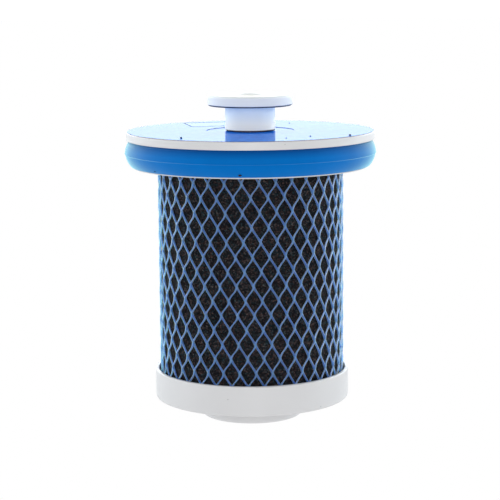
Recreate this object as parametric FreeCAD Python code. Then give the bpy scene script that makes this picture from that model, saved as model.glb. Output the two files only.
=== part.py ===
"""Replaceable carbon cartridge for a camping pump filter.

A carbon block under diamond netting is glued between a footed cup and a round
head. The head carries a soft seal ring and a push-pull outlet spout.

Millimetres. +Z is up along the cartridge's axis, and the origin is the centre
of the foot's bottom face. Everything is at rest with the spout pushed closed.
"""
import FreeCAD, Part
import math
import os

# General
SLIP = 0.1                # gap between parts that slide or locate in each other
RIM_ROUND = 0.3           # rounding of thin rims
EDGE_ROUND = 1.0          # rounding of the bottom cap's outer lower edges
FLOOR = 1.5               # thickness of moulded floors

# Foot and bottom cap
FOOT_R = 17.4
FOOT_H = 6.5
FOOT_FILLET = 0.6
WELL_R = FOOT_R - FLOOR
CAP_R = 33.5
CAP_TOP_Z = 16.8
SKIRT_R = CAP_R - 1.2     # inside of the cap's skirt
SPIGOT_H = 3.5            # centring spigot inside the core tube

# Filter element
NET_R = 32.0
BLOCK_R = 31.0
BORE_R = 9.5              # bore of the carbon block
GLUE_T = 1.0
BLOCK_BOTTOM_Z = FOOT_H + FLOOR + GLUE_T
BLOCK_TOP_Z = 88.7
CORE_R = 8.0
CORE_T = 1.4
CORE_HOLE_R = 1.6
CORE_HOLE_ROWS = 11
CORE_HOLES_PER_ROW = 6    # an even number, since each drill passes right through

# Head
FLANGE_R = 40.2
FLANGE_BOTTOM_Z = 86.6
FLANGE_T = 1.1
CUP_R = 36.0              # wall that carries the seal ring
CUP_SOCKET_R = 32.5       # socket for the block's upper end
CUP_FLOOR_TOP_Z = BLOCK_TOP_Z + GLUE_T + FLOOR
CHAMBER_R = 33.0          # clean-water chamber between cup and disc
DISC_R = 42.4
DISC_BOTTOM_Z = 95.95
DISC_TOP_Z = 98.7
RECESS_R = 15.05          # shallow recess around the outlet tube
RECESS_DEPTH = 0.12
LOCATING_T = 1.5          # ring under the disc that centres it in the cup
LOCATING_H = 2.8
RIB_COUNT = 6
RIB_T = 1.5
RIB_INNER_R = 14.0
RIB_OUTER_R = 29.0
LABEL_R = 42.1
LABEL_T = 0.1

# Seal ring
SEAL_R = 43.0             # over the parting ridge
SEAL_RIDGE = 0.25
SEAL_PARTING_Z = 91.45
SEAL_LIP_R = 40.9
SEAL_LIP_Z = 87.1
SEAL_LOWER_R = 42.05
SEAL_LOWER_Z = 88.8
SEAL_UPPER_R = 42.5
SEAL_UPPER_Z = 93.6
SEAL_SHOULDER_R = 41.7
SEAL_SHOULDER_Z = 95.2
SEAL_NOTCH = 0.5          # shadow gap under the disc
WEB_T = 1.0               # inner web, clamped between cup and disc

# Outlet tube, spider and O-ring
TUBE_R = 6.6
TUBE_BORE_R = 4.9
TUBE_TOP_Z = 107.2
GROOVE_R = 5.9
GROOVE_BOTTOM_Z = 105.0
GROOVE_TOP_Z = 106.5
BEAD_R = 7.1
BEAD_BOTTOM_Z = 104.2
O_RING_R = 7.15
HUB_R = 3.6
HUB_HOLE_R = 2.5
SPOKE_COUNT = 3
SPOKE_W = 1.6
SPIDER_H = 2.0

# Valve post
STEM_R = HUB_HOLE_R - SLIP
BARB_R = 3.0
BARB_H = 1.5
SHOULDER_R = 3.4
SHOULDER_H = 1.0
TIP_R = 5.2
TIP_CONE_Z = 106.6        # where the stem starts to widen
TIP_SEAT_Z = 108.8        # where it reaches the tip's radius
TIP_DOME_H = 1.06

# Spout, pushed closed
SPOUT_BOTTOM_Z = 98.9
SPOUT_TOP_Z = 111.0
NECK_R = 8.53
SPOUT_FLANGE_R = 14.45
SPOUT_FLANGE_BOTTOM_Z = 107.25
SPOUT_ROUND = 0.8
SPOUT_BORE_R = BEAD_R + SLIP
SPOUT_BORE_TOP_Z = 109.0
SPOUT_LIP_R = TUBE_R + SLIP
SPOUT_LIP_H = 0.8        # snap lip that stops against the bead when the spout is open
SPOUT_MOUTH_R = TIP_R + SLIP

AXIS = FreeCAD.Vector(0, 0, 1)
ORIGIN = FreeCAD.Vector(0, 0, 0)


def turned(*outline):
    """Solid of revolution about Z from an outline of (radius, z) corners.

    A corner (radius, z, size) is rounded to that size. A corner
    (mid radius, mid z, radius, z) is reached by an arc through the middle point.
    """
    count = len(outline)
    corners = []
    for item in outline:
        radius, z = item[:2] if len(item) < 4 else item[2:]
        corners.append(FreeCAD.Vector(radius, 0, z))
    arrive = list(corners)
    leave = list(corners)
    rounds = {}
    for i, item in enumerate(outline):
        if len(item) != 3:
            continue
        size = item[2]
        back = (corners[i - 1] - corners[i]).normalize()
        ahead = (corners[(i + 1) % count] - corners[i]).normalize()
        half_angle = back.getAngle(ahead) / 2
        inward = (back + ahead).normalize()
        run = size / math.tan(half_angle)
        arrive[i] = corners[i] + back * run
        leave[i] = corners[i] + ahead * run
        rounds[i] = corners[i] + inward * (size / math.sin(half_angle) - size)
    edges = []
    for i, item in enumerate(outline):
        if len(item) == 4:
            middle = FreeCAD.Vector(item[0], 0, item[1])
            edges.append(Part.Arc(leave[i - 1], middle, arrive[i]).toShape())
        else:
            edges.append(Part.makeLine(leave[i - 1], arrive[i]))
        if i in rounds:
            edges.append(Part.Arc(arrive[i], rounds[i], leave[i]).toShape())
    face = Part.Face(Part.Wire(edges))
    return face.revolve(ORIGIN, AXIS, 360)


def ring(inner_r, outer_r, bottom_z, top_z):
    """Plain ring or tube."""
    return turned((inner_r, bottom_z), (outer_r, bottom_z), (outer_r, top_z), (inner_r, top_z))


def radial_bar(inner_r, outer_r, width, bottom_z, top_z, angle):
    """Straight bar that points away from the axis at an angle in degrees."""
    corner = FreeCAD.Vector(inner_r, -width / 2, bottom_z)
    bar = Part.makeBox(outer_r - inner_r, width, top_z - bottom_z, corner)
    bar.rotate(ORIGIN, AXIS, angle)
    return bar


def bottom_cap():
    """Cup with a stepped-down foot. The foot is a well for the core tube's end."""
    cap_floor_z = FOOT_H + FLOOR
    spigot_r = CORE_R - CORE_T - SLIP
    spigot_z = FLOOR + SPIGOT_H
    return turned(
        (0, 0),
        (FOOT_R, 0, EDGE_ROUND),
        (FOOT_R, FOOT_H, FOOT_FILLET),
        (CAP_R, FOOT_H, EDGE_ROUND),
        (CAP_R, CAP_TOP_Z, RIM_ROUND),
        (SKIRT_R, CAP_TOP_Z, RIM_ROUND),
        (SKIRT_R, cap_floor_z),
        (WELL_R, cap_floor_z),
        (WELL_R, FLOOR),
        (spigot_r, FLOOR),
        (spigot_r, spigot_z, RIM_ROUND),
        (0, spigot_z),
    )


def bottom_potting():
    """Adhesive that fills the well around the core tube and beds the block."""
    cap_floor_z = FOOT_H + FLOOR
    return turned(
        (CORE_R, FLOOR),
        (WELL_R, FLOOR),
        (WELL_R, cap_floor_z),
        (SKIRT_R, cap_floor_z),
        (SKIRT_R, BLOCK_BOTTOM_Z),
        (CORE_R, BLOCK_BOTTOM_Z),
    )


def top_potting():
    """Adhesive between the block and the floor of the top cup."""
    return ring(CORE_R, CUP_SOCKET_R, BLOCK_TOP_Z, BLOCK_TOP_Z + GLUE_T)


def core_tube():
    """Perforated tube from the foot's floor to the chamber in the head."""
    pipe = ring(CORE_R - CORE_T, CORE_R, FLOOR, CUP_FLOOR_TOP_Z)
    drills = []
    pitch = (BLOCK_TOP_Z - BLOCK_BOTTOM_Z) / (CORE_HOLE_ROWS + 1)
    turn = 360 / CORE_HOLES_PER_ROW
    for row in range(CORE_HOLE_ROWS):
        z = BLOCK_BOTTOM_Z + pitch * (row + 1)
        for hole in range(CORE_HOLES_PER_ROW // 2):
            angle = math.radians(turn * (hole + 0.5 * (row % 2)))
            across = FreeCAD.Vector(math.cos(angle), math.sin(angle), 0)
            start = FreeCAD.Vector(0, 0, z) - across * (CORE_R + 1)
            drills.append(Part.makeCylinder(CORE_HOLE_R, 2 * CORE_R + 2, start, across))
    return pipe.cut(drills)


def core_wrap():
    """Fine non-woven sleeve between the core tube and the block."""
    return ring(CORE_R, BORE_R, BLOCK_BOTTOM_Z, BLOCK_TOP_Z)


def carbon_block():
    """Moulded block of activated carbon."""
    return ring(BORE_R, BLOCK_R, BLOCK_BOTTOM_Z, BLOCK_TOP_Z)


def netting_sleeve():
    """Space that the extruded netting takes up, as a plain sleeve."""
    return ring(BLOCK_R, NET_R, BLOCK_BOTTOM_Z, BLOCK_TOP_Z)


def top_cup():
    """Head's lower half: socket for the block, thin flange and seal ring wall."""
    return turned(
        (CORE_R, CUP_FLOOR_TOP_Z - FLOOR),
        (CUP_SOCKET_R, CUP_FLOOR_TOP_Z - FLOOR),
        (CUP_SOCKET_R, FLANGE_BOTTOM_Z, RIM_ROUND),
        (FLANGE_R, FLANGE_BOTTOM_Z, RIM_ROUND),
        (FLANGE_R, FLANGE_BOTTOM_Z + FLANGE_T),
        (CUP_R, FLANGE_BOTTOM_Z + FLANGE_T),
        (CUP_R, DISC_BOTTOM_Z - WEB_T),
        (CHAMBER_R, DISC_BOTTOM_Z - WEB_T),
        (CHAMBER_R, CUP_FLOOR_TOP_Z),
        (CORE_R, CUP_FLOOR_TOP_Z),
    )


def seal_ring():
    """Soft ring with a bulged face, a parting ridge and an inner web."""
    flange_top_z = FLANGE_BOTTOM_Z + FLANGE_T
    skin_r = SEAL_R - SEAL_RIDGE
    return turned(
        (CUP_R, flange_top_z),
        (FLANGE_R, flange_top_z),
        (FLANGE_R, SEAL_LIP_Z),
        (SEAL_LIP_R, SEAL_LIP_Z),
        (SEAL_LOWER_R, SEAL_LOWER_Z, skin_r, SEAL_PARTING_Z - SEAL_RIDGE),
        (SEAL_R, SEAL_PARTING_Z),
        (skin_r + SEAL_RIDGE / 2, SEAL_PARTING_Z + SEAL_RIDGE),
        (SEAL_UPPER_R, SEAL_UPPER_Z, SEAL_SHOULDER_R, SEAL_SHOULDER_Z),
        (SEAL_SHOULDER_R - SEAL_NOTCH, DISC_BOTTOM_Z - SEAL_RIDGE),
        (SEAL_SHOULDER_R - SEAL_NOTCH, DISC_BOTTOM_Z),
        (CHAMBER_R, DISC_BOTTOM_Z),
        (CHAMBER_R, DISC_BOTTOM_Z - WEB_T),
        (CUP_R, DISC_BOTTOM_Z - WEB_T),
    )


def top_disc():
    """Disc that closes the head, with its outlet tube, spider and ribs."""
    locating_r = CHAMBER_R - SLIP
    plate = turned(
        (TUBE_BORE_R, DISC_BOTTOM_Z),
        (locating_r - LOCATING_T, DISC_BOTTOM_Z),
        (locating_r - LOCATING_T, DISC_BOTTOM_Z - LOCATING_H),
        (locating_r, DISC_BOTTOM_Z - LOCATING_H),
        (locating_r, DISC_BOTTOM_Z),
        (DISC_R, DISC_BOTTOM_Z, RIM_ROUND),
        (DISC_R, DISC_TOP_Z, RIM_ROUND),
        (RECESS_R, DISC_TOP_Z),
        (RECESS_R, DISC_TOP_Z - RECESS_DEPTH),
        (TUBE_R, DISC_TOP_Z - RECESS_DEPTH),
        (TUBE_R, BEAD_BOTTOM_Z),
        (BEAD_R, BEAD_BOTTOM_Z),
        (BEAD_R, GROOVE_BOTTOM_Z),
        (GROOVE_R, GROOVE_BOTTOM_Z),
        (GROOVE_R, GROOVE_TOP_Z),
        (BEAD_R, GROOVE_TOP_Z),
        (BEAD_R, TUBE_TOP_Z, RIM_ROUND),
        (TUBE_BORE_R, TUBE_TOP_Z),
    )
    hub = ring(HUB_HOLE_R, HUB_R, DISC_BOTTOM_Z, DISC_BOTTOM_Z + SPIDER_H)
    extras = [hub]
    for spoke in range(SPOKE_COUNT):
        angle = 360 / SPOKE_COUNT * spoke
        inner_r = (HUB_HOLE_R + HUB_R) / 2
        outer_r = (TUBE_BORE_R + TUBE_R) / 2
        bar = radial_bar(inner_r, outer_r, SPOKE_W, DISC_BOTTOM_Z, DISC_BOTTOM_Z + SPIDER_H, angle)
        extras.append(bar)
    for rib in range(RIB_COUNT):
        angle = 360 / RIB_COUNT * rib
        rib_top_z = DISC_BOTTOM_Z + FLOOR
        bar = radial_bar(RIB_INNER_R, RIB_OUTER_R, RIB_T, CUP_FLOOR_TOP_Z, rib_top_z, angle)
        extras.append(bar)
    return plate.fuse(extras).removeSplitter()


def label_sticker():
    """Printed film that follows the disc's recess and has a hole for the outlet tube."""
    hole_r = TUBE_R + 2 * SLIP
    step_r = RECESS_R - LABEL_T
    recess_z = DISC_TOP_Z - RECESS_DEPTH
    return turned(
        (hole_r, recess_z),
        (RECESS_R, recess_z),
        (RECESS_R, DISC_TOP_Z),
        (LABEL_R, DISC_TOP_Z),
        (LABEL_R, DISC_TOP_Z + LABEL_T),
        (step_r, DISC_TOP_Z + LABEL_T),
        (step_r, recess_z + LABEL_T),
        (hole_r, recess_z + LABEL_T),
    )


def valve_post():
    """Fixed plug: a barb under the spider, a shoulder on it, and a domed tip."""
    hub_bottom_z = DISC_BOTTOM_Z
    hub_top_z = DISC_BOTTOM_Z + SPIDER_H
    body = turned(
        (0, hub_bottom_z - BARB_H - RIM_ROUND),
        (STEM_R - RIM_ROUND, hub_bottom_z - BARB_H - RIM_ROUND),
        (BARB_R, hub_bottom_z - SLIP),
        (STEM_R, hub_bottom_z - SLIP),
        (STEM_R, hub_top_z),
        (SHOULDER_R, hub_top_z),
        (SHOULDER_R, hub_top_z + SHOULDER_H, RIM_ROUND),
        (STEM_R, hub_top_z + SHOULDER_H),
        (STEM_R, TIP_CONE_Z),
        (TIP_R, TIP_SEAT_Z),
        (TIP_R, SPOUT_TOP_Z + TIP_DOME_H),
        (0, SPOUT_TOP_Z + TIP_DOME_H),
    )
    dome_r = (TIP_R ** 2 + TIP_DOME_H ** 2) / (2 * TIP_DOME_H)
    dome_centre = FreeCAD.Vector(0, 0, SPOUT_TOP_Z + TIP_DOME_H - dome_r)
    return body.common(Part.makeSphere(dome_r, dome_centre))


def spout_o_ring():
    """O-ring in the outlet tube's groove."""
    section_r = (O_RING_R - GROOVE_R) / 2
    centre = FreeCAD.Vector(0, 0, (GROOVE_BOTTOM_Z + GROOVE_TOP_Z) / 2)
    return Part.makeTorus(GROOVE_R + section_r, section_r, centre, AXIS)


def outlet_spout():
    """Push-pull spout: a neck that slides on the outlet tube and a finger flange."""
    return turned(
        (SPOUT_LIP_R, SPOUT_BOTTOM_Z),
        (NECK_R, SPOUT_BOTTOM_Z, RIM_ROUND),
        (NECK_R, SPOUT_FLANGE_BOTTOM_Z, RIM_ROUND),
        (SPOUT_FLANGE_R, SPOUT_FLANGE_BOTTOM_Z, SPOUT_ROUND),
        (SPOUT_FLANGE_R, SPOUT_TOP_Z, SPOUT_ROUND),
        (SPOUT_MOUTH_R, SPOUT_TOP_Z, RIM_ROUND),
        (SPOUT_MOUTH_R, SPOUT_BORE_TOP_Z),
        (SPOUT_BORE_R, SPOUT_BORE_TOP_Z),
        (SPOUT_BORE_R, SPOUT_BOTTOM_Z + SPOUT_LIP_H),
        (SPOUT_LIP_R, SPOUT_BOTTOM_Z + SPOUT_LIP_H),
    )


SUB_PARTS = (
    bottom_cap,
    bottom_potting,
    core_tube,
    core_wrap,
    carbon_block,
    netting_sleeve,
    top_potting,
    top_cup,
    seal_ring,
    top_disc,
    label_sticker,
    valve_post,
    spout_o_ring,
    outlet_spout,
)

os.makedirs("parts", exist_ok=True)
for make in SUB_PARTS:
    shape = make()
    if not shape.isValid():
        raise ValueError(make.__name__ + " is not a valid solid")
    shape.exportStep("parts/" + make.__name__ + ".step")
    print(make.__name__, len(shape.Solids), "solid", round(shape.Volume), "mm3")
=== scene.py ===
import math
import random

import bmesh
import bpy
from mathutils import Matrix, Vector, noise


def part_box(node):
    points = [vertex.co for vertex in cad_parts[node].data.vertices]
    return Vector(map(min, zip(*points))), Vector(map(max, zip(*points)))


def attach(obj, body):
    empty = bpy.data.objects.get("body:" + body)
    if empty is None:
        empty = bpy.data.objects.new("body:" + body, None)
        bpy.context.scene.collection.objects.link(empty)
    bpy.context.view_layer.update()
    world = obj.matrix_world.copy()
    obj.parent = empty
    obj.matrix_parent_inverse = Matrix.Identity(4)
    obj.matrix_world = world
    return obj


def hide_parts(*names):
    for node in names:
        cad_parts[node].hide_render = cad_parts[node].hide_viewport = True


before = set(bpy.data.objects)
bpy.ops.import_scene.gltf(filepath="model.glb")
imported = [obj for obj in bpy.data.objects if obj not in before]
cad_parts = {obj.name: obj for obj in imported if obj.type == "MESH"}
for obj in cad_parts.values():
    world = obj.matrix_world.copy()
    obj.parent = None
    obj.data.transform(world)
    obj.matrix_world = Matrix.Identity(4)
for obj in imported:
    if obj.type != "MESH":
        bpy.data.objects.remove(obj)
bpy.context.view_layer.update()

MM = 0.001

# Camera: a long lens, a little above the head and looking slightly down
CAMERA_AT = (-0.4 * MM, -589.2 * MM, 150.2 * MM)
CAMERA_DOWN = math.radians(8.957)
CAMERA_ROLL = math.radians(-0.45)
SENSOR = 36.0
LENS = 124.3

# Light: the white tent's brightness in front, behind and overhead, the table top's, and the lamp's power
FRONT_LIGHT = (0.4, 0.41, 0.42)
BACK_LIGHT = (5.3, 5.75, 6.0)
TOP_LIGHT = (0.66, 0.67, 0.67)
FLOOR_GLOW = 1.0
FLOOR_HALF = 6.0
KEY_POWER = 5.5

# Heights and radii taken from the frame
SPOUT_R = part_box("outlet_spout")[1][0]
SPOUT_LOW_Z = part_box("outlet_spout")[0][2]
SEAL_TOP_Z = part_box("seal_ring")[1][2]
LABEL_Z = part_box("label_sticker")[1][2]
RING_LIP_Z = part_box("seal_ring")[0][2] + 0.6 * MM
NET_LOW_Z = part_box("netting_sleeve")[0][2]
NET_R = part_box("netting_sleeve")[1][0]
NET_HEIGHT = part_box("netting_sleeve")[1][2] - NET_LOW_Z

# Label: the printed write-on panel and the film's gloss
PANEL_CORNER = (-20.6 * MM, 15.4 * MM, 0)
PANEL_TURN = math.radians(12.3)
PANEL_SIZE = (28.0 * MM, 17.0 * MM)
PANEL_SIDE_LINE = 0.5 * MM
PANEL_END_LINE = 1.4 * MM
LABEL_COAT = 0.222

# Netting: two layers of strands that lean opposite ways.
# start, drift: a layer's angle at middle height, and its turn per metre of height.
# lean, bow: how uneven that is round the block, in degrees, at middle height and per whole height.
# swing: how far a strand bends towards upright where two cross. lift: how far it rises there.
STRANDS = 36               # in each layer
STRAND_STEPS = 170
STRAND_SIDES = 12
STRAND_THICKNESS = 0.5 * MM
STRAND_ROUNDNESS = 0.5     # 1 is an oval section, 0 a flat bar
NET_MIDDLE_Z = 50.0 * MM
NET_OVER = {
    "radius": NET_R - 0.42 * MM, "width": 0.64 * MM,
    "start": math.radians(1.2), "drift": math.radians(0.98) / MM,
    "lean": (-0.1, 1.6), "bow": (-1.4, -2.4),
    "swing": -0.26 * MM, "lift": 0.05 * MM,
}
NET_UNDER = {
    "radius": NET_R - 0.68 * MM, "width": 0.84 * MM,
    "start": math.radians(1.2), "drift": math.radians(-1.07) / MM,
    "lean": (1.6, 4.1), "bow": (-3.2, 1.8),
    "swing": 0.08 * MM, "lift": 0.0,
}

# Carbon block: pressed granules on its outside
GRANULE = 1.1 * MM
GRAIN_DEPTH = 0.32 * MM
SKIN_AROUND = 460
SKIN_ROWS = 192

# Carbon crumbs: x and y in mm, the height of what they lie on, and size in mm
CRUMBS = [
    (-22.5, -28.6, LABEL_Z, 0.5), (19.6, -25.1, LABEL_Z, 0.28), (32.8, -22.6, LABEL_Z, 0.45),
    (11.6, -31.5, LABEL_Z, 0.26), (-3.4, -41.5, RING_LIP_Z, 0.6), (-31.3, -27.3, RING_LIP_Z, 0.3),
    (14.0, 27.0, LABEL_Z, 0.2),
]


# ---------------------------------------------------------------- small tools

def link(obj):
    """Puts a new object into the scene and returns it."""
    bpy.context.scene.collection.objects.link(obj)
    return obj


def mesh_object(name, verts, faces, material, smooth=True):
    """New mesh object with one material."""
    mesh = bpy.data.meshes.new(name)
    mesh.from_pydata(verts, [], faces)
    mesh.materials.append(material)
    mesh.polygons.foreach_set("use_smooth", [smooth] * len(mesh.polygons))
    mesh.update()
    return link(bpy.data.objects.new(name, mesh))


def on_cylinder(angle, radius, z):
    """Point at an angle measured from the front (-y), positive towards +x."""
    return (radius * math.sin(angle), -radius * math.cos(angle), z)


class Nodes:
    """Short way to build the node tree of a material or a world."""

    def __init__(self, owner):
        owner.use_nodes = True
        self.owner = owner
        self.tree = owner.node_tree
        self.shader = next(node for node in self.tree.nodes if node.type in ("BSDF_PRINCIPLED", "BACKGROUND"))

    def add(self, kind, values=None, **settings):
        """New node; values go to its inputs, settings to the node itself."""
        node = self.tree.nodes.new(kind)
        for key, value in settings.items():
            setattr(node, key, value)
        for key, value in (values or {}).items():
            self.feed(node.inputs[key], value)
        return node

    def feed(self, socket, value):
        """Links a socket into another, or sets its value."""
        if isinstance(value, bpy.types.NodeSocket):
            self.tree.links.new(value, socket)
        else:
            socket.default_value = value

    def set(self, **values):
        """Sets inputs of the shader; an underscore stands for a space."""
        for key, value in values.items():
            self.feed(self.shader.inputs[key.replace("_", " ")], value)

    def position(self):
        return self.add("ShaderNodeTexCoord").outputs["Object"]

    def split(self, vector):
        """X, Y and Z of a vector."""
        return self.add("ShaderNodeSeparateXYZ", {"Vector": vector}).outputs

    def channels(self, colour):
        """Red, green and blue of a colour."""
        return self.add("ShaderNodeSeparateColor", {"Color": colour}).outputs

    def normal_z(self, kind="Normal"):
        """How far the surface faces up, -1 to 1."""
        return self.split(self.add("ShaderNodeNewGeometry").outputs[kind])["Z"]

    def attribute(self, name):
        return self.add("ShaderNodeAttribute", attribute_name=name).outputs["Fac"]

    def math(self, operation, first, second=0.0):
        return self.add("ShaderNodeMath", {0: first, 1: second}, operation=operation).outputs[0]

    def vector(self, operation, first, second):
        """Vector maths; second is a number for SCALE, a vector otherwise."""
        key = "Scale" if operation == "SCALE" else 1
        node = self.add("ShaderNodeVectorMath", {0: first, key: second}, operation=operation)
        return node.outputs["Value" if operation == "DOT_PRODUCT" else "Vector"]

    def noise(self, size, detail=3.0, rough=0.5):
        """Noise whose features are about size metres across."""
        node = self.add("ShaderNodeTexNoise", {"Vector": self.position(), "Scale": 1 / size,
                                               "Detail": detail, "Roughness": rough})
        return node.outputs[0]

    def cells(self, size, ragged=0.0):
        """Voronoi cells about size metres across; ragged is how far their edges wander, in cells."""
        ripple = self.add("ShaderNodeTexNoise", {"Vector": self.position(), "Scale": 2.5 / size, "Detail": 3.0})
        shift = self.vector("SCALE", ripple.outputs["Color"], ragged * size)
        moved = self.vector("ADD", self.position(), shift)
        return self.add("ShaderNodeTexVoronoi", {"Vector": moved, "Scale": 1 / size, "Randomness": 1.0})

    def ramp(self, value, *stops):
        """Colour ramp; each stop is (position, colour)."""
        node = self.add("ShaderNodeValToRGB", {"Fac": value})
        points = node.color_ramp.elements
        while len(points) < len(stops):
            points.new(0.5)
        for point, (position, colour) in zip(points, stops):
            point.position = position
            point.color = (*colour, 1)
        return node.outputs[0]

    def span(self, value, low, high, to_low=0.0, to_high=1.0, easing="LINEAR"):
        """Maps low..high to to_low..to_high, held at both ends."""
        node = self.add("ShaderNodeMapRange", {"Value": value, "From Min": low, "From Max": high,
                                               "To Min": to_low, "To Max": to_high}, interpolation_type=easing)
        return node.outputs[0]

    def mix(self, share, first, second, blend="MIX"):
        """Mixes two colours; share 0 gives the first."""
        node = self.add("ShaderNodeMix", {0: share}, data_type="RGBA", blend_type=blend)
        for socket, colour in ((node.inputs[6], first), (node.inputs[7], second)):
            self.feed(socket, (*colour, 1) if isinstance(colour, tuple) else colour)
        return node.outputs[2]

    def bump(self, height, depth, strength=1.0):
        node = self.add("ShaderNodeBump", {"Height": height, "Distance": depth, "Strength": strength})
        self.feed(self.shader.inputs["Normal"], node.outputs[0])


def new_material(name):
    return Nodes(bpy.data.materials.new(name))


# ---------------------------------------------------------------- materials

def moulded_plastic(name, colour, shade, roughness, wear=1.0, dusty=False):
    """Moulded plastic with faint flow clouding, a fine skin texture, small scuffs and perhaps specks of dust."""
    m = new_material(name)
    cloud = m.noise(14 * MM, 4)
    grain = m.noise(0.35 * MM, 2)
    scuff = m.noise(2.5 * MM, 6, 0.7)
    skin = m.ramp(cloud, (0.3, shade), (0.7, colour))
    if dusty:
        cell = m.cells(4 * MM)
        chosen = m.math("GREATER_THAN", m.channels(cell.outputs["Color"])[0], 0.55)
        speck = m.math("MULTIPLY", chosen, m.span(cell.outputs["Distance"], 0.055, 0.035))
        skin = m.mix(speck, skin, (0.16, 0.16, 0.17))
    m.set(Base_Color=skin)
    m.set(Roughness=m.span(scuff, 0.3, 0.75, roughness - 0.06 * wear, roughness + 0.1 * wear))
    m.bump(grain, 0.012 * MM, 0.2 + 0.3 * wear)
    return m


def spout_plastic():
    """The spout's whiter plastic, with painted shade: blue-grey up under the flange, grey on the flange's side,
    and dark lines under the flange's rim and at the neck's foot.
    """
    m = moulded_plastic("spout_moulding", (0.98, 0.955, 0.83), (0.96, 0.935, 0.81), 0.55, wear=0.0)
    unshaded_colour = m.shader.inputs["Base Color"].links[0].from_socket
    x, y, height = m.split(m.position())
    out = m.math("SQRT", m.math("ADD", m.math("POWER", x, 2.0), m.math("POWER", y, 2.0)))
    faces_down = m.span(m.normal_z(), -0.3, -0.5)
    # painted shade: the flange's outer rim, its side face, is greyed as though in shade
    flange = m.span(out, SPOUT_R - 1.1 * MM, SPOUT_R - 0.4 * MM)
    # painted shade: a dark line where the flange's rim rounds under and faces down
    painted_edge = m.math("MULTIPLY", faces_down, m.span(out, SPOUT_R - 0.9 * MM, SPOUT_R - 0.6 * MM))
    # painted shadow: a dark band at the neck's bottom edge, in the gap above the label
    painted_foot_shadow = m.span(height, SPOUT_LOW_Z + 0.5 * MM, SPOUT_LOW_Z + 0.3 * MM)
    # painted shade with a painted blue reflection of the label, on the neck up under the flange's overhang
    painted_shade_under_flange = m.math("MULTIPLY", m.span(height, SPOUT_LOW_Z + 2 * MM, SPOUT_LOW_Z + 8 * MM),
                  m.span(height, SPOUT_LOW_Z + 8.7 * MM, SPOUT_LOW_Z + 8.5 * MM))
    colour = m.mix(painted_shade_under_flange, unshaded_colour, (0.71, 0.83, 0.9))
    colour = m.mix(flange, colour, (0.71, 0.74, 0.77))
    colour = m.mix(painted_edge, colour, (0.03, 0.05, 0.09))
    m.set(Base_Color=m.mix(painted_foot_shadow, colour, (0.045, 0.03, 0.05)))
    return m.owner


def seal_rubber():
    """Satin blue elastomer with a faint mottle and fine mould texture, and painted shade near its top under the
    disc's overhang.
    """
    m = new_material("seal_elastomer")
    cloud = m.noise(9 * MM, 4)
    grain = m.noise(0.25 * MM, 2)
    dust = m.noise(1.2 * MM, 6, 0.75)
    height = m.split(m.position())["Z"]
    # painted shade: darker towards the top, where the disc overhangs the ring
    shade = m.span(height, SEAL_TOP_Z - 3 * MM, SEAL_TOP_Z - 1 * MM, 0.0, 0.6)
    blue = m.ramp(cloud, (0.3, (0.0, 0.117, 0.41)), (0.7, (0.0, 0.13, 0.45)))
    m.set(Base_Color=m.mix(shade, blue, (0.0, 0.05, 0.24)))
    m.set(Roughness=m.span(dust, 0.35, 0.75, 0.4, 0.55), Specular_IOR_Level=0.01)
    m.set(Sheen_Weight=1.0, Sheen_Roughness=0.37, Sheen_Tint=(0.56, 0.98, 0.92, 1))
    m.bump(grain, 0.01 * MM, 0.5)
    return m.owner


def label_film():
    """Glossy blue film. A pale write-on panel with a dark frame is printed on it, a little askew. Its cut edges,
    the faces that don't face up, are painted near black as shade.
    """
    m = new_material("label_print")
    turn_cos, turn_sin = math.cos(PANEL_TURN), math.sin(PANEL_TURN)
    from_corner = m.vector("SUBTRACT", m.position(), PANEL_CORNER)
    across = m.vector("DOT_PRODUCT", from_corner, (turn_cos, turn_sin, 0))
    along = m.vector("DOT_PRODUCT", from_corner, (-turn_sin, turn_cos, 0))
    from_side = m.math("MINIMUM", across, m.math("SUBTRACT", PANEL_SIZE[0], across))
    from_end = m.math("MINIMUM", along, m.math("SUBTRACT", PANEL_SIZE[1], along))
    inside = m.math("GREATER_THAN", m.math("MINIMUM", from_side, from_end), 0.0)
    on_line = m.math("MAXIMUM", m.math("LESS_THAN", from_side, PANEL_SIDE_LINE),
                     m.math("LESS_THAN", from_end, PANEL_END_LINE))
    frame_line = m.math("MULTIPLY", inside, on_line)
    ink = m.noise(2.5 * MM, 5, 0.7)
    blue = m.ramp(ink, (0.35, (0.013, 0.135, 0.57)), (0.65, (0.023, 0.205, 0.75)))
    colour = m.mix(inside, blue, (0.1, 0.28, 0.64))
    colour = m.mix(frame_line, colour, (0.02, 0.03, 0.08))
    # painted shade: faces that don't face up (the film's cut edges) are coloured near black
    upward = m.span(m.normal_z("True Normal"), 0.4, 0.6)
    m.set(Base_Color=m.mix(upward, (0.006, 0.01, 0.02), colour))
    m.set(Roughness=m.span(m.noise(3 * MM, 5, 0.7), 0.35, 0.7, 0.1, 0.2))
    gloss = m.math("MULTIPLY", m.math("MULTIPLY", upward, LABEL_COAT), m.span(frame_line, 0, 1, 1, 0.2))
    m.set(Specular_IOR_Level=0.0, Coat_Weight=gloss, Coat_Roughness=0.02)
    return m.owner


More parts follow.
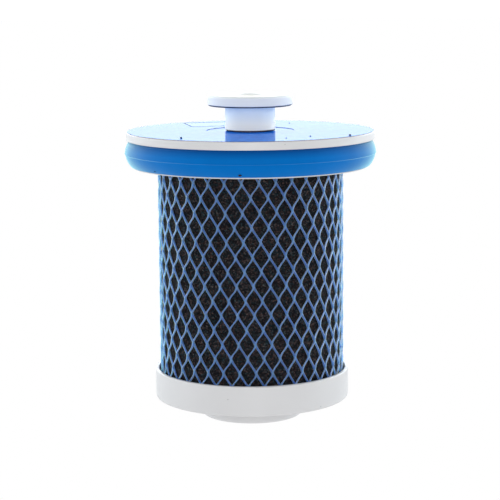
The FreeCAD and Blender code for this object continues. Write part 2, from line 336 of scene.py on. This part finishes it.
def net_plastic(name, core, painted_edge):
    """Translucent extruded polyethylene, with painted light where it faces up and painted shade below and at a
    strand's flanks.
    """
    m = new_material(name)
    streak = m.noise(1.4 * MM, 4)
    rise = m.normal_z()
    # painted shade: darker where a strand faces down
    tone = m.mix(m.span(rise, -0.6, -0.1), tuple(0.25 * value for value in core), core)
    # painted light: the paler colour where a strand faces up
    tone = m.mix(m.span(rise, 0.15, 0.6), tone, painted_edge)
    tone = m.mix(m.span(streak, 0.3, 0.7, 0.0, 0.25), tone, (0.02, 0.1, 0.3))
    tone = m.mix(m.attribute("weld"), tone, (0.045, 0.22, 0.92))
    # painted shade: deeper blue at a strand's flanks
    m.set(Base_Color=m.mix(m.span(m.attribute("flank"), 0.6, 1.0, 0.0, 0.85), tone, (0.01, 0.07, 0.6)))
    m.set(Roughness=0.35, Sheen_Weight=1.0, Sheen_Roughness=0.45, Sheen_Tint=(0.7, 0.95, 1.0, 1))
    m.set(Subsurface_Weight=1.0, Subsurface_Scale=10 * MM, Subsurface_Radius=(1.0, 0.95, 0.8))
    m.bump(m.noise(0.3 * MM, 2), 0.01 * MM, 0.6)
    return m.owner


def carbon():
    """Pressed carbon: near black, with fine brown and slate grains that catch the light, and painted shade in the
    hollows between granules.
    """
    m = new_material("pressed_carbon")
    grain = m.cells(0.6 * MM, 0.6)
    fine = m.cells(0.42 * MM, 1.2)
    tone = m.channels(grain.outputs["Color"])[0]
    pick = m.channels(fine.outputs["Color"])
    brown = m.ramp(pick[0], (0.0, (0.001, 0.001, 0.001)), (0.5, (0.005, 0.003, 0.0025)),
                   (0.85, (0.031, 0.0165, 0.014)), (1.0, (0.08, 0.05, 0.042)))
    slate = m.ramp(pick[1], (0.0, (0.0, 0.001, 0.003)), (0.5, (0.0015, 0.0035, 0.0065)),
                   (0.85, (0.005, 0.016, 0.022)), (1.0, (0.02, 0.046, 0.054)))
    # painted shade: darker towards each granule's edge, in the hollows between granules
    painted_pit_shade = m.ramp(grain.outputs["Distance"], (0.25, (1, 1, 1)), (0.7, (0.5, 0.5, 0.5)))
    m.set(Base_Color=m.mix(1.0, m.mix(1.0, brown, slate, "ADD"), painted_pit_shade, "MULTIPLY"))
    m.set(Roughness=m.span(tone, 0, 1, 0.85, 0.5), Specular_IOR_Level=0.045)
    m.bump(grain.outputs["Distance"], -0.08 * MM, 0.7)
    return m.owner


def nonwoven():
    """Soft white fibre sleeve."""
    m = new_material("fibre_sleeve")
    fibre = m.noise(0.5 * MM, 8, 0.8)
    m.set(Base_Color=m.ramp(fibre, (0.3, (0.62, 0.61, 0.57)), (0.7, (0.85, 0.84, 0.8))))
    m.set(Roughness=0.95)
    m.bump(fibre, 0.15 * MM)
    return m.owner


def adhesive():
    """Cream hot-melt adhesive."""
    m = new_material("hot_melt")
    cloud = m.noise(5 * MM, 4)
    m.set(Base_Color=m.ramp(cloud, (0.3, (0.62, 0.55, 0.4)), (0.7, (0.74, 0.68, 0.52))))
    m.set(Roughness=m.span(cloud, 0.3, 0.7, 0.3, 0.45))
    m.bump(cloud, 0.2 * MM, 0.6)
    return m.owner


def black_rubber():
    """Black O-ring rubber."""
    m = new_material("o_ring_black")
    cloud = m.noise(1.5 * MM, 4)
    m.set(Base_Color=m.ramp(cloud, (0.3, (0.012, 0.012, 0.013)), (0.7, (0.025, 0.025, 0.026))))
    m.set(Roughness=m.span(cloud, 0.3, 0.7, 0.4, 0.55))
    return m.owner


WHITE = moulded_plastic("white_moulding", (0.56, 0.56, 0.57), (0.54, 0.54, 0.55), 0.38, dusty=True).owner
SPOUT_WHITE = spout_plastic()
POST_WHITE = moulded_plastic("post_moulding", (0.9, 0.91, 0.9), (0.87, 0.88, 0.87), 0.4).owner
CORE_WHITE = moulded_plastic("core_moulding", (0.78, 0.78, 0.76), (0.72, 0.72, 0.7), 0.5).owner
SEAL = seal_rubber()
LABEL = label_film()
# each netting material: a core colour, then a paler colour painted where strands face up as painted light
NET_THIN = net_plastic("net_thin_strands", (0.062, 0.187, 0.81), (0.135, 0.325, 0.96))
NET_WIDE = net_plastic("net_wide_strands", (0.018, 0.106, 0.72), (0.07, 0.195, 0.93))
CARBON = carbon()

NODE_MATERIALS = {
    "bottom_cap": WHITE,
    "top_cup": WHITE,
    "top_disc": WHITE,
    "outlet_spout": SPOUT_WHITE,
    "valve_post": POST_WHITE,
    "seal_ring": SEAL,
    "label_sticker": LABEL,
    "netting_sleeve": NET_WIDE,
    "carbon_block": CARBON,
    "core_tube": CORE_WHITE,
    "core_wrap": nonwoven(),
    "top_potting": adhesive(),
    "bottom_potting": adhesive(),
    "spout_o_ring": black_rubber(),
}
for node, material in NODE_MATERIALS.items():
    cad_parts[node].material_slots[0].material = material


# ---------------------------------------------------------------- netting

def spiral(layer, angle, z):
    """Turn of a layer's strands at a height, a little uneven round the block."""
    height = z - NET_MIDDLE_Z
    share = height / NET_HEIGHT
    lean = (layer["lean"][0] + layer["lean"][1] * share) * math.sin(angle)
    bow = (layer["bow"][0] + layer["bow"][1] * share) * (1 - math.cos(angle))
    return layer["start"] + layer["drift"] * height + math.radians(lean + bow)


def crossing(angle, z):
    """Where a place is in the pattern of crossings; a whole turn is one crossing to the next."""
    return STRANDS * (spiral(NET_OVER, angle, z) - spiral(NET_UNDER, angle, z))


def strand_layer(name, layer, material):
    """One layer of the netting: flattened strands that lean the same way.

    Near each crossing a strand bends towards upright, swells and lifts a little. The weld and flank
    attributes say how near a place is to a crossing and to the strand's side.
    """
    radius = layer["radius"]
    swing = layer["swing"] / NET_R
    verts = []
    faces = []
    weld = []
    flank = []
    for strand in range(STRANDS):
        first = len(verts)
        start = 2 * math.pi * strand / STRANDS
        for step in range(STRAND_STEPS + 1):
            z = NET_LOW_Z + NET_HEIGHT * step / STRAND_STEPS
            even = start + layer["drift"] * (z - NET_MIDDLE_Z)
            phase = crossing(even, z)
            angle = start + spiral(layer, even, z) + swing * (math.sin(phase) + 0.1 * math.sin(2 * phase))
            swell = 1 + 0.08 * math.cos(phase) + 0.04 * noise.noise(Vector(on_cylinder(angle, radius, z)) / MM)
            middle = radius + layer["lift"] * math.cos(phase)
            weld += [max(0.0, math.cos(phase)) ** 3] * STRAND_SIDES
            for side in range(STRAND_SIDES):
                turn = 2 * math.pi * side / STRAND_SIDES
                across = layer["width"] / 2 * swell * math.cos(turn)
                rise = math.copysign(abs(math.sin(turn)) ** STRAND_ROUNDNESS, math.sin(turn))
                # flank: how near a strand's side a vertex is; the netting material paints shade there
                flank.append(abs(math.cos(turn)))
                verts.append(on_cylinder(angle + across / radius, middle + STRAND_THICKNESS / 2 * rise, z))
        for step in range(STRAND_STEPS):
            for side in range(STRAND_SIDES):
                a = first + step * STRAND_SIDES + side
                b = first + step * STRAND_SIDES + (side + 1) % STRAND_SIDES
                faces.append((a, a + STRAND_SIDES, b + STRAND_SIDES, b))
        last = first + STRAND_STEPS * STRAND_SIDES
        faces.append(tuple(first + side for side in range(STRAND_SIDES)))
        faces.append(tuple(last + side for side in reversed(range(STRAND_SIDES))))
    layer_object = mesh_object(name, verts, faces, material)
    for attribute, values in (("weld", weld), ("flank", flank)):
        layer_object.data.attributes.new(attribute, "FLOAT", "POINT").data.foreach_set("value", values)
    return layer_object


net_under = strand_layer("netting_under", NET_UNDER, NET_WIDE)
net_over = strand_layer("netting_over", NET_OVER, NET_THIN)
for strands in (net_under, net_over):
    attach(strands, "cartridge")
    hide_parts("netting_sleeve")


# ---------------------------------------------------------------- carbon

def carbon_skin():
    """The carbon block with a surface of pressed granules."""
    low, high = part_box("carbon_block")
    block_r = high[0]
    bore_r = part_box("core_wrap")[1][0]
    verts = []
    faces = []
    for row in range(SKIN_ROWS + 1):
        z = low[2] + (high[2] - low[2]) * row / SKIN_ROWS
        for step in range(SKIN_AROUND):
            angle = 2 * math.pi * step / SKIN_AROUND
            at = Vector(on_cylinder(angle, block_r, z))
            near, centres = noise.voronoi(at / GRANULE)
            height = 0.5 + 0.5 * noise.noise(centres[0] * 7.3)
            sink = GRAIN_DEPTH * (0.55 * min(1.0, near[0] ** 2 * 1.4) + 0.45 * (1 - height))
            verts.append(on_cylinder(angle, block_r - sink, z))
    for z in (low[2], high[2]):
        for step in range(SKIN_AROUND):
            verts.append(on_cylinder(2 * math.pi * step / SKIN_AROUND, bore_r, z))
    top = SKIN_ROWS * SKIN_AROUND
    bore_low = top + SKIN_AROUND
    bore_high = bore_low + SKIN_AROUND
    for step in range(SKIN_AROUND):
        ahead = (step + 1) % SKIN_AROUND
        for row in range(SKIN_ROWS):
            a = row * SKIN_AROUND + step
            b = row * SKIN_AROUND + ahead
            faces.append((a, b, b + SKIN_AROUND, a + SKIN_AROUND))
        faces.append((bore_low + ahead, bore_low + step, bore_high + step, bore_high + ahead))
        faces.append((bore_low + step, bore_low + ahead, ahead, step))
        faces.append((top + step, top + ahead, bore_high + ahead, bore_high + step))
    return mesh_object("carbon_granules", verts, faces, CARBON)


def crumbs():
    """Carbon dust: small chips lying on the label and under the seal ring."""
    rng = random.Random(4)
    mesh = bmesh.new()
    for x, y, z, size in CRUMBS:
        turn = Matrix.Rotation(rng.uniform(0, math.tau), 4, "Z")
        shape = Matrix.Diagonal((size * MM, size * 0.7 * MM, size * 0.5 * MM, 1))
        move = Matrix.Translation((x * MM, y * MM, z + size * 0.4 * MM))
        made = bmesh.ops.create_icosphere(mesh, subdivisions=2, radius=1.0, matrix=move @ turn @ shape)
        for vert in made["verts"]:
            at = vert.co / (0.3 * MM)
            dent = Vector([noise.noise(at + Vector((0, 0, shift))) for shift in (0, 10, 20)])
            vert.co += dent * size * 0.22 * MM
    data = bpy.data.meshes.new("carbon_crumbs")
    mesh.to_mesh(data)
    mesh.free()
    data.materials.append(CARBON)
    return link(bpy.data.objects.new("carbon_crumbs", data))


granules = carbon_skin()
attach(granules, "cartridge")
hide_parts("carbon_block")
dust = crumbs()
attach(dust, "cartridge")


# ---------------------------------------------------------------- floor, light and camera

def floor_material():
    """Pale translucent table top, lit from below."""
    m = new_material("pale_table")
    m.set(Base_Color=(0, 0, 0, 1), Roughness=1.0, Specular_IOR_Level=0.0)
    m.set(Emission_Color=(1, 1, 1, 1), Emission_Strength=FLOOR_GLOW)
    return m.owner


def studio_world():
    """White tent: a very bright panel low behind the object, dimmer in front and overhead."""
    w = Nodes(bpy.data.worlds.new("studio"))
    _, y, z = w.split(w.add("ShaderNodeTexCoord").outputs["Generated"])
    overhead = w.span(z, 0.2, 0.55, easing="SMOOTHSTEP")
    behind = w.span(y, -0.45, 0.45, easing="SMOOTHSTEP")
    w.set(Color=w.mix(overhead, w.mix(behind, FRONT_LIGHT, BACK_LIGHT), TOP_LIGHT))
    bpy.context.scene.world = w.owner


def softbox(name, at, aim, size, power):
    """Square area lamp that points at a place."""
    data = bpy.data.lights.new(name, "AREA")
    data.shape = "SQUARE"
    data.size = size
    data.energy = power
    lamp = link(bpy.data.objects.new(name, data))
    lamp.location = at
    lamp.rotation_euler = (Vector(aim) - Vector(at)).to_track_quat("-Z", "Y").to_euler()


floor_corners = [(x * FLOOR_HALF, y * FLOOR_HALF, 0) for x, y in ((-1, -1), (1, -1), (1, 1), (-1, 1))]
floor = mesh_object("floor", floor_corners, [(0, 1, 2, 3)], floor_material(), smooth=False)
studio_world()
softbox("key_light", (0.0, -1.2, 0.2), (0, 0, 0.09), 0.5, KEY_POWER)

camera_data = bpy.data.cameras.new("camera")
camera_data.lens = LENS
camera_data.sensor_width = SENSOR
camera = link(bpy.data.objects.new("camera", camera_data))
look = Matrix.Rotation(math.pi / 2 - CAMERA_DOWN, 4, "X") @ Matrix.Rotation(CAMERA_ROLL, 4, "Z")
camera.matrix_world = Matrix.Translation(CAMERA_AT) @ look
bpy.context.scene.camera = camera
bpy.context.scene.view_settings.view_transform = "Standard"
